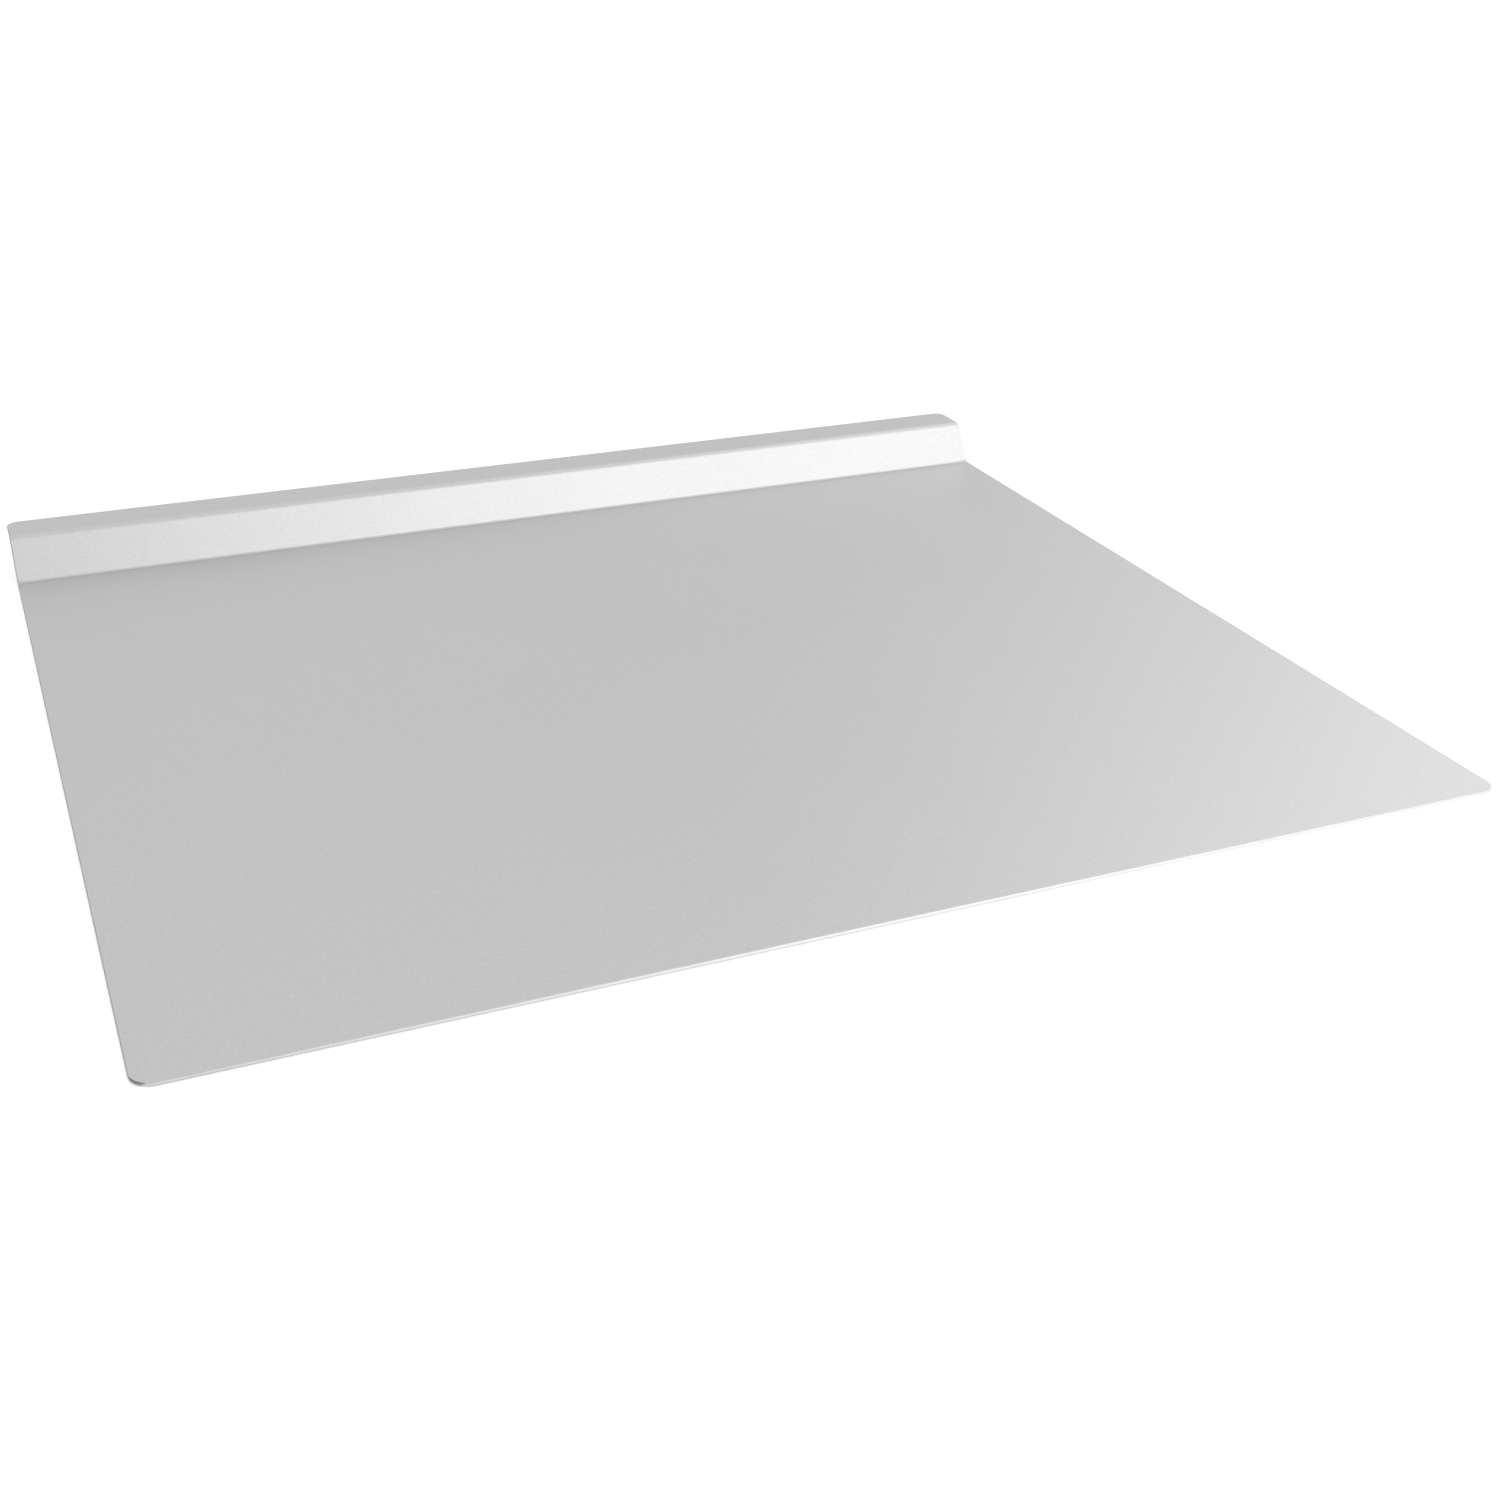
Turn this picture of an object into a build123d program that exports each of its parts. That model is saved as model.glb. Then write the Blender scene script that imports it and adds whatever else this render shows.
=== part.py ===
# Flat cookie sheet: one piece of bent sheet aluminium.
# Three sides stay flat and open. The fourth is turned up into a leaning riser that ends in a level grip lip.
# Frame: +Z up, +X along the bends, +Y from the open front edge to the lip, origin under the middle at the rack.
from build123d import *
from math import radians, tan
import os

os.makedirs("parts", exist_ok=True)

# Driving sizes, in millimetres and degrees
sheet_width = 431.8  # along the bends, the nominal 17 inches
flat_depth = 363.0  # open front edge to the foot of the riser, where the two upper faces would meet
riser_height = 16.0  # upper face of the flat to upper face of the lip
riser_lean = 56.0  # from level, opening towards the front
lip_width = 18.2  # head of the riser to the free edge of the lip
sheet_thickness = 1.1  # same in the flat, the riser and the lip
foot_bend_radius = 1.6  # inside of the bend at the foot, on the upper face
head_bend_radius = 2.5  # inside of the bend at the head, on the underside
front_corner_radius = 6.4
lip_corner_radius = 4.8
cut_edge_radius = 0.4  # rounding that deburring leaves on every cut edge

# Places that follow from them
riser_run = riser_height / tan(radians(riser_lean))
overall_depth = flat_depth + riser_run + lip_width
front_y = -overall_depth / 2
foot_y = front_y + flat_depth
head_y = foot_y + riser_run
back_y = head_y + lip_width
flat_z = sheet_thickness
lip_z = flat_z + riser_height

with BuildPart() as cookie_sheet:
    # Side view of the bent sheet, drawn along its upper face and thickened downwards, so that both
    # bends keep the sheet's thickness: the outer radius is always the inner one plus the thickness
    with BuildSketch(Plane.YZ) as side_view:
        with BuildLine() as upper_face:
            FilletPolyline(
                (front_y, flat_z),
                (foot_y, flat_z),
                (head_y, lip_z),
                (back_y, lip_z),
                radius=(foot_bend_radius, head_bend_radius + sheet_thickness),
            )
            offset(amount=sheet_thickness, side=Side.RIGHT)
        make_face()
    extrude(amount=sheet_width / 2, both=True)

    # Corners of the blank, rounded where its ends lie level
    upright_edges = cookie_sheet.edges().filter_by(Axis.Z).group_by(Axis.Y)
    fillet(upright_edges[0], radius=front_corner_radius)
    fillet(upright_edges[-1], radius=lip_corner_radius)

    # Deburred rim: the front edges lead into one smooth loop each, above and below, round the whole outline
    front_face = cookie_sheet.faces().filter_by(Axis.Y).sort_by(Axis.Y)[0]
    fillet(front_face.edges().filter_by(Axis.X), radius=cut_edge_radius)

cookie_sheet.part.label = "cookie_sheet"
export_step(cookie_sheet.part, "parts/cookie_sheet.step")

print("outline", round(sheet_width, 1), "by", round(overall_depth, 1), "by", round(lip_z, 1), "mm")
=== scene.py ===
# Flat cookie sheet of bare aluminium: one blank with two bends, open on three sides.
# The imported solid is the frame. Here it gets a finished mesh, its metal, a floor, the light and a camera.
# Metres and degrees, in the row's own frame: +X along the bends, +Y from the open front edge to the lip.
from math import atan2, cos, hypot, radians, sin, tan

import bmesh
import bpy
from mathutils import Euler, Matrix, Vector


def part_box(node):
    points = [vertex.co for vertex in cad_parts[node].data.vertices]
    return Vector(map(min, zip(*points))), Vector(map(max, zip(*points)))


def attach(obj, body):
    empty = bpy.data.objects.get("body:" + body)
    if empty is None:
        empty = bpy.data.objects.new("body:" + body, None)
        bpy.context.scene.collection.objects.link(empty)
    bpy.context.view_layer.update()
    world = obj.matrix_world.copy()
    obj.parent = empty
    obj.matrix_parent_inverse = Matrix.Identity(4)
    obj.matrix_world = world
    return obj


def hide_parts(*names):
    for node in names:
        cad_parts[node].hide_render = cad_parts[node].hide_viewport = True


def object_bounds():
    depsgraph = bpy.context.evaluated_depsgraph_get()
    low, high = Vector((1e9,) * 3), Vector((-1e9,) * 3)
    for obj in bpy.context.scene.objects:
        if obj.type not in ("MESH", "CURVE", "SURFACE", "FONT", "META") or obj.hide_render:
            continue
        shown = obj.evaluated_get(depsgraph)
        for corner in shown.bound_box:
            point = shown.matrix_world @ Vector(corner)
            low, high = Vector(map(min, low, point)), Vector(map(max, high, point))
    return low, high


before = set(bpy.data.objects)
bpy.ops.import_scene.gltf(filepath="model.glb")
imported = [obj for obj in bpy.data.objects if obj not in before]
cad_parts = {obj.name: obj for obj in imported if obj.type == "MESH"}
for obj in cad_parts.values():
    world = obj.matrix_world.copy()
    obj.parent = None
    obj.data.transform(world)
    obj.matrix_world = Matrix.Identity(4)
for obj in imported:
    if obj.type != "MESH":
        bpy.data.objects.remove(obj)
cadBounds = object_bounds()
print("frame loaded:", ", ".join(sorted(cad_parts)))


def openMesh(piece, elements):
    # edit mode on this piece alone, with nothing selected in it
    bpy.ops.object.select_all(action="DESELECT")
    piece.select_set(True)
    bpy.context.view_layer.objects.active = piece
    bpy.ops.object.mode_set(mode="EDIT")
    pickNone(elements)


def pickNone(elements):
    bpy.ops.mesh.select_mode(type=elements)
    bpy.ops.mesh.select_all(action="DESELECT")


def pick(piece, elements, inPlace):
    # selects what has all its points in the place that the test describes
    pickNone(elements)
    shape = bmesh.from_edit_mesh(piece.data)
    found = {"VERT": shape.verts, "EDGE": shape.edges, "FACE": shape.faces}[elements]
    for part in found:
        points = [part] if elements == "VERT" else part.verts
        part.select_set(all(inPlace(point.co) for point in points))
    bmesh.update_edit_mesh(piece.data)


def linear(hexColour):
    # sRGB hex, as a colour picker gives it, to the linear colour that nodes take
    parts = [int(hexColour[i:i + 2], 16) / 255 for i in (1, 3, 5)]
    return [p / 12.92 if p <= 0.04045 else ((p + 0.055) / 1.055) ** 2.4 for p in parts] + [1]


def addNode(tree, kind, settings={}, links={}):
    # settings are properties or sockets of the node, links run from an output to a socket
    node = tree.nodes.new(kind)
    for name, value in settings.items():
        if isinstance(name, str) and hasattr(node, name):
            setattr(node, name, value)
        else:
            node.inputs[name].default_value = value
    for name, source in links.items():
        tree.links.new(source, node.inputs[name])
    return node


def newMaterial(name):
    material = bpy.data.materials.new(name)
    material.use_nodes = True
    material.node_tree.nodes.clear()
    return material, material.node_tree


# The rolled skin: bare 3003 aluminium whose mill rolls left a matte, directionless grain. Light spreads
# into a soft grey sheen with no image in it, a shade uneven from place to place
skin = {
    "colour": "#E2E2E2",
    "roughness": 0.4,
    "grain": 0.0012,  # the real one is about 0.1 mm; drawn as coarse as it shows, and as much deeper
    "grainTone": 0.042,
    "grainDepth": 0.000005,
    "cloud": 0.07,  # where the rolls pressed a little more or less
    "cloudTone": 0.004,
    "cloudRoughness": 0.015,
    "fleckSpacing": 0.04,  # a few shallow pits of rolled-in dust
    "fleckSize": 0.0007,
    "fleckTone": 0.035,
    "crease": 0.1657,  # Y of a thin line of painted shade just before the foot bend, in the inner corner where shade falls, above and below
    "creaseShadeWidth": 0.0018,
    "creaseShadeTone": 0.08,
}


noiseSpan = (0.25, 0.75)  # nearly all of a noise lies between these


def calculate(tree, operation, settings={}, links={}):
    return addNode(tree, "ShaderNodeMath", {"operation": operation, **settings}, links).outputs["Value"]


def spread(tree, source, low, high, toLow, toHigh):
    # the part of a pattern between low and high, drawn out to a range of its own
    limits = {"From Min": low, "From Max": high, "To Min": toLow, "To Max": toHigh}
    return addNode(tree, "ShaderNodeMapRange", limits, {"Value": source}).outputs["Result"]


def mottle(tree, noise, middle, swing):
    # a value that wanders with a noise, as far below its middle as above
    return spread(tree, noise, *noiseSpan, middle - swing, middle + swing)


def shade(tree, colour, tones):
    # a colour made lighter and darker by all the tones together
    tone = tones[0]
    for more in tones[1:]:
        tone = calculate(tree, "MULTIPLY", links={0: tone, 1: more})
    return addNode(tree, "ShaderNodeVectorMath", {"operation": "SCALE", 0: linear(colour)[:3]},
                   {"Scale": tone}).outputs["Vector"]


def makeSkin():
    material, tree = newMaterial("satin rolled aluminium")
    place = addNode(tree, "ShaderNodeTexCoord").outputs["Object"]
    grain = addNode(tree, "ShaderNodeTexNoise", {"Scale": 1 / skin["grain"], "Detail": 2, "Roughness": 0.6},
                    {"Vector": place}).outputs["Fac"]
    cloud = addNode(tree, "ShaderNodeTexNoise", {"Scale": 1 / skin["cloud"], "Detail": 3},
                    {"Vector": place}).outputs["Fac"]
    fleck = addNode(tree, "ShaderNodeTexVoronoi",
                    {"voronoi_dimensions": "2D", "Scale": 1 / skin["fleckSpacing"]},
                    {"Vector": place}).outputs["Distance"]
    reach = skin["fleckSize"] / skin["fleckSpacing"] / 2
    across = addNode(tree, "ShaderNodeSeparateXYZ", {}, {"Vector": place}).outputs["Y"]
    past = calculate(tree, "SUBTRACT", {1: skin["crease"]}, {0: across})
    away = calculate(tree, "ABSOLUTE", links={0: past})
    tones = [
        mottle(tree, grain, 1, skin["grainTone"]),
        mottle(tree, cloud, 1, skin["cloudTone"]),
        spread(tree, fleck, reach / 2, reach, 1 - skin["fleckTone"], 1),
        # painted shade: a thin darker line in the inner corner of the foot bend
        spread(tree, away, skin["creaseShadeWidth"] / 4, skin["creaseShadeWidth"], 1 - skin["creaseShadeTone"], 1),
    ]
    rough = mottle(tree, cloud, skin["roughness"], skin["cloudRoughness"])
    bump = addNode(tree, "ShaderNodeBump", {"Distance": skin["grainDepth"]}, {"Height": grain})
    metal = addNode(tree, "ShaderNodeBsdfPrincipled", {"Metallic": 1},
                    {"Base Color": shade(tree, skin["colour"], tones), "Roughness": rough,
                     "Normal": bump.outputs["Normal"]})
    addNode(tree, "ShaderNodeOutputMaterial", {}, {"Surface": metal.outputs["BSDF"]})
    return material


# The cut edge: the same aluminium, sheared and then drawn along a deburring belt. The blade burnished the
# part that it met first and tore the rest, which stays greyer. The belt's fine lines run along the rim, so
# they throw light up and down but hardly sideways. On the left end that grey is painted shade. The edge is
# painted lighter away from the left end, as if lit from the right, and painted darker at its front left
# corner
cutEdge = {
    "colour": "#E7E7E7",
    "roughness": 0.42,
    "stretch": 0.75,  # how much wider the sheen is across the lines than along them
    "line": 0.0004,  # about 0.05 mm apart in truth
    "lineLength": 0.006,
    "lineTone": 0.05,
    "burnished": 0.00035,  # how deep the blade went in before the metal began to tear
    "torn": 0.0007,  # and from where it is wholly torn
    "tornAndShadeTone": 0.7,
    "paintedLightSpan": (-0.216, -0.04),  # the stretch of X along which the edge is painted lighter, as if lit from the right
    "paintedLightTone": (0.97, 1.15),
    "cornerShade": (-0.2142, -0.1932, 0.0009),  # a painted dark patch of shade on the wall of the front left corner
    "cornerShadeSize": 0.0031,
    "cornerShadeTone": 0.55,
}


def makeCutEdge():
    material, tree = newMaterial("deburred aluminium edge")
    place = addNode(tree, "ShaderNodeTexCoord").outputs["Object"]
    along = 1 / cutEdge["lineLength"]
    drawn = addNode(tree, "ShaderNodeMapping", {"Scale": (along, along, 1 / cutEdge["line"])},
                    {"Vector": place}).outputs["Vector"]
    line = addNode(tree, "ShaderNodeTexNoise", {"Scale": 1, "Detail": 2}, {"Vector": drawn}).outputs["Fac"]
    depth = addNode(tree, "ShaderNodeAttribute", {"attribute_name": "tearAndShadeDepth"}).outputs["Fac"]
    across = addNode(tree, "ShaderNodeSeparateXYZ", {}, {"Vector": place}).outputs["X"]
    cornerShade = addNode(tree, "ShaderNodeVectorMath", {"operation": "DISTANCE", 1: cutEdge["cornerShade"]},
                   {0: place}).outputs["Value"]
    tones = [
        mottle(tree, line, 1, cutEdge["lineTone"]),
        # the torn grey: real on the front and back, painted shade on the left end
        spread(tree, depth, cutEdge["burnished"], cutEdge["torn"], 1, cutEdge["tornAndShadeTone"]),
        # painted light: the edge lighter away from the left end, as if lit from the right
        spread(tree, across, *cutEdge["paintedLightSpan"], *cutEdge["paintedLightTone"]),
        # painted shade on the front left corner's wall
        spread(tree, cornerShade, cutEdge["cornerShadeSize"] / 2, cutEdge["cornerShadeSize"], cutEdge["cornerShadeTone"], 1),
    ]
    # a tangent round the Z axis lies level on every wall of the rim, a quarter turn sets the sheen upright
    level = addNode(tree, "ShaderNodeTangent", {"direction_type": "RADIAL", "axis": "Z"}).outputs["Tangent"]
    metal = addNode(tree, "ShaderNodeBsdfPrincipled",
                    {"Metallic": 1, "Roughness": cutEdge["roughness"], "Anisotropic": cutEdge["stretch"],
                     "Anisotropic Rotation": 0.25},
                    {"Base Color": shade(tree, cutEdge["colour"], tones), "Tangent": level})
    addNode(tree, "ShaderNodeOutputMaterial", {}, {"Surface": metal.outputs["BSDF"]})
    return material


# The bent blank. Width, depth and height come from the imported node, the rest is here
blank = {
    "thickness": 0.0011,
    "riserLean": 56,  # from level
    "lipWidth": 0.0182,  # head of the riser to the free edge
    "footBend": 0.0016,  # both bend radii are those of the upper face
    "headBend": 0.0036,
    "frontCorner": 0.0064,
    "lipCorner": 0.0048,
    "endShadeReach": 0.0045,  # how far in from each end, round the corners, the grey is measured from the underside: painted shade on the left end
    "endShadeFade": 0.0015,  # over how much of that it turns into the grey of the front or the back
    "rightLightShare": 0.68,  # from the middle to the right the grey's depth counts as this share less: painted light, as if lit from the right
    "rimRound": 0.0004,
    "rimTurn": 60,  # faces that meet at more than this have the rim between them
    "bendSteps": 12,
    "cornerSteps": 16,
    "rimSteps": 5,
    "footBendEnd": 0.0032,  # what the foot bend opens out to at its two ends
    # cuts across the foot bend, from each end, the last where it starts to open
    "slackCuts": (0.001, 0.002, 0.003, 0.004, 0.005, 0.0065),
}


def makeBlank():
    low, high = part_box("cookie_sheet")
    width = high.x - low.x
    flatZ = low.z + blank["thickness"]
    lipZ = high.z
    lean = radians(blank["riserLean"])
    headY = high.y - blank["lipWidth"]
    footY = headY - (lipZ - flatZ) / tan(lean)
    # how far each bend reaches from where its two faces would meet
    footReach = blank["footBend"] * tan(lean / 2)
    headReach = blank["headBend"] * tan(lean / 2)
    riser = hypot(headY - footY, lipZ - flatZ) - footReach - headReach
    near = 0.00001

    bpy.ops.object.select_all(action="DESELECT")
    bpy.ops.mesh.primitive_plane_add(size=width, location=(0, low.y + width / 2, flatZ))
    piece = bpy.context.object
    piece.name = "bent_sheet"
    bpy.ops.object.transform_apply(location=True)

    # the flat, then its back edge drawn on through the foot bend, the riser, the head bend and the lip
    openMesh(piece, "EDGE")
    pick(piece, "EDGE", lambda p: p.y > low.y + width - near)
    bpy.ops.transform.translate(value=(0, footY - footReach - low.y - width, 0))
    bpy.ops.mesh.spin(steps=blank["bendSteps"], angle=-lean, axis=(1, 0, 0),
                      center=(0, footY - footReach, flatZ + blank["footBend"]))
    rise = (0, riser * cos(lean), riser * sin(lean))
    bpy.ops.mesh.extrude_region_move(TRANSFORM_OT_translate={"value": rise})
    bpy.ops.mesh.spin(steps=blank["bendSteps"], angle=lean, axis=(1, 0, 0),
                      center=(0, headY + headReach, lipZ - blank["headBend"]))
    back = (0, blank["lipWidth"] - headReach, 0)
    bpy.ops.mesh.extrude_region_move(TRANSFORM_OT_translate={"value": back})

    # the corners of the blank
    for y, radius in ((low.y, blank["frontCorner"]), (high.y, blank["lipCorner"])):
        pick(piece, "VERT", lambda p: abs(p.y - y) < near)
        bpy.ops.mesh.bevel(offset_type="OFFSET", offset=radius, segments=blank["cornerSteps"], profile=0.5,
                           affect="VERTICES")

    # the foot bend opens out towards both ends, where there was no metal beside it to hold the crease tight
    def onFootBend(p):
        return footY - footReach - near < p.y < footY + footReach * cos(lean) + near

    for cut in blank["slackCuts"]:
        for x in (low.x + cut, high.x - cut):
            pick(piece, "FACE", onFootBend)
            bpy.ops.mesh.bisect(plane_co=(x, 0, 0), plane_no=(1, 0, 0))
    bpy.ops.object.mode_set(mode="OBJECT")
    tight, slack = blank["footBend"], blank["footBendEnd"]
    for point in piece.data.vertices:
        if onFootBend(point.co):
            turn = atan2(point.co.y - footY + footReach, flatZ + tight - point.co.z)
            share = max(0, 1 - (width / 2 - abs(point.co.x)) / blank["slackCuts"][-1])
            eased = share * share * (3 - 2 * share)
            radius = tight + (slack - tight) * eased
            point.co.y = footY - radius * tan(lean / 2) + radius * sin(turn)
            point.co.z = flatZ + radius - radius * cos(turn)

    # one ply of metal below the drawn face, its rim rounded by deburring
    piece.data.materials.append(makeSkin())
    piece.data.materials.append(makeCutEdge())
    ply = piece.modifiers.new("ply", "SOLIDIFY")
    ply.thickness = blank["thickness"]
    ply.offset = -1
    ply.use_even_offset = True
    ply.material_offset_rim = 1
    rim = piece.modifiers.new("rim", "BEVEL")
    rim.width = blank["rimRound"]
    rim.segments = blank["rimSteps"]
    rim.limit_method = "ANGLE"
    rim.angle_limit = radians(blank["rimTurn"])
    rim.use_clamp_overlap = False
    rim.material = 1
    weight = piece.modifiers.new("level faces", "WEIGHTED_NORMAL")
    weight.keep_sharp = True
    bpy.ops.object.shade_smooth()
    for modifier in list(piece.modifiers):
        bpy.ops.object.modifier_apply(modifier=modifier.name)

    # how far each point lies in from a face, which the cut edge's metal reads as its torn grey: the upper
    # face at the front and the back, which the blade met first, and the underside at the two ends with their
    # corners, which paints shade on the left end. Towards the right all of it counts as nearer that face,
    # painted light as if lit from there
    tearAndShadeDepth = piece.data.attributes.new("tearAndShadeDepth", "FLOAT", "POINT")
    for point, cut in zip(piece.data.vertices, tearAndShadeDepth.data):
        y, z = point.co.y - footY, point.co.z - flatZ
        below = min(max(-z, y * sin(lean) - z * cos(lean)), lipZ - point.co.z)
        inCorner = abs(point.co.x) - (width / 2 - blank["endShadeReach"])
        endShadeShare = min(1, max(0, inCorner / blank["endShadeFade"]))
        litShare = blank["rightLightShare"] * min(1, (point.co.x - low.x) / (width / 2))
        cut.value = (below + (blank["thickness"] - 2 * below) * endShadeShare) * (1 - litShare)
        # the ply stands a hair proud of its end where the foot bend opens, so it is trimmed to the width
        point.co.x = max(low.x, min(high.x, point.co.x))

    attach(piece, "root")
    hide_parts("cookie_sheet")
    print("blank bent:", len(piece.data.polygons), "faces")


# A seamless white table top, much wider than any view. Its own glow makes it the picture's white ground
floor = {
    "size": 24,
    "drop": 0.0001,
    "colour": "#F2F2F2",
    "glow": 0.42,
}


def makeFloor():
    bpy.ops.object.select_all(action="DESELECT")
    bpy.ops.mesh.primitive_plane_add(size=floor["size"], location=(0, 0, cadBounds[0].z - floor["drop"]))
    ground = bpy.context.object
    ground.name = "floor"
    material, tree = newMaterial("white table")
    ray = addNode(tree, "ShaderNodeLightPath").outputs
    either = calculate(tree, "MAXIMUM", links={0: ray["Is Camera Ray"], 1: ray["Is Glossy Ray"]})
    seen = calculate(tree, "MAXIMUM", links={0: either, 1: ray["Is Transmission Ray"]})
    glow = calculate(tree, "MULTIPLY", {1: floor["glow"]}, {0: seen})
    light = addNode(tree, "ShaderNodeEmission", {}, {"Strength": glow}).outputs["Emission"]
    matte = addNode(tree, "ShaderNodeBsdfDiffuse", {"Color": linear(floor["colour"])}).outputs["BSDF"]
    both = addNode(tree, "ShaderNodeAddShader", {}, {0: matte, 1: light})
    addNode(tree, "ShaderNodeOutputMaterial", {}, {"Surface": both.outputs["Shader"]})
    ground.data.materials.append(material)
    print("floor laid")


# Azimuth is turned from +Y towards +X, both angles seen from the middle of the sheet
lamps = {
    "frontBox": {"azimuth": 140, "elevation": 45, "distance": 2.4, "size": 2, "power": 10.5},
    "rightBox": {"azimuth": 60, "elevation": 45, "distance": 2.4, "size": 2, "power": 3},
    "lowBox": {"azimuth": 60, "elevation": 30, "distance": 2.4, "size": 1, "power": 1.2},
    "backBox": {"azimuth": -20, "elevation": 60, "distance": 2.4, "size": 3, "power": 2.3},
}
room = {"colour": "#FFFFFF", "strength": 0.649}


def makeLight():
    for name, lamp in lamps.items():
        heading, height = radians(lamp["azimuth"]), radians(lamp["elevation"])
        way = Vector((sin(heading) * cos(height), cos(heading) * cos(height), sin(height)))
        data = bpy.data.lights.new(name, "AREA")
        data.shape = "SQUARE"
        data.size = lamp["size"]
        data.energy = lamp["power"]
        box = bpy.data.objects.new(name, data)
        box.location = way * lamp["distance"]
        box.rotation_euler = way.to_track_quat("Z", "Y").to_euler()
        bpy.context.scene.collection.objects.link(box)
    world = bpy.data.worlds.new("grey room")
    world.use_nodes = True
    world.node_tree.nodes.clear()
    air = addNode(world.node_tree, "ShaderNodeBackground",
                  {"Color": linear(room["colour"]), "Strength": room["strength"]})
    addNode(world.node_tree, "ShaderNodeOutputWorld", {}, {"Surface": air.outputs["Background"]})
    bpy.context.scene.world = world
    print("light set:", ", ".join(lamps))


# The photograph's view, solved from the sheet's own straight edges
camera = {
    "place": (-0.22873, -0.61771, 0.29326),
    "heading": 23.005,  # from +Y towards +X
    "down": 26.563,
    "roll": -0.587,
    "lens": 46.68,
    "sensor": 36,
}


def makeCamera():
    data = bpy.data.cameras.new("camera")
    data.lens = camera["lens"]
    data.sensor_width = camera["sensor"]
    eye = bpy.data.objects.new("camera", data)
    aim = Euler((radians(90 - camera["down"]), 0, -radians(camera["heading"]))).to_matrix()
    turned = aim @ Matrix.Rotation(-radians(camera["roll"]), 3, "Z")
    eye.matrix_world = Matrix.Translation(camera["place"]) @ turned.to_4x4()
    bpy.context.scene.collection.objects.link(eye)
    bpy.context.scene.camera = eye
    bpy.context.scene.view_settings.view_transform = "Standard"
    print("camera placed")


makeBlank()
makeFloor()
makeLight()
makeCamera()
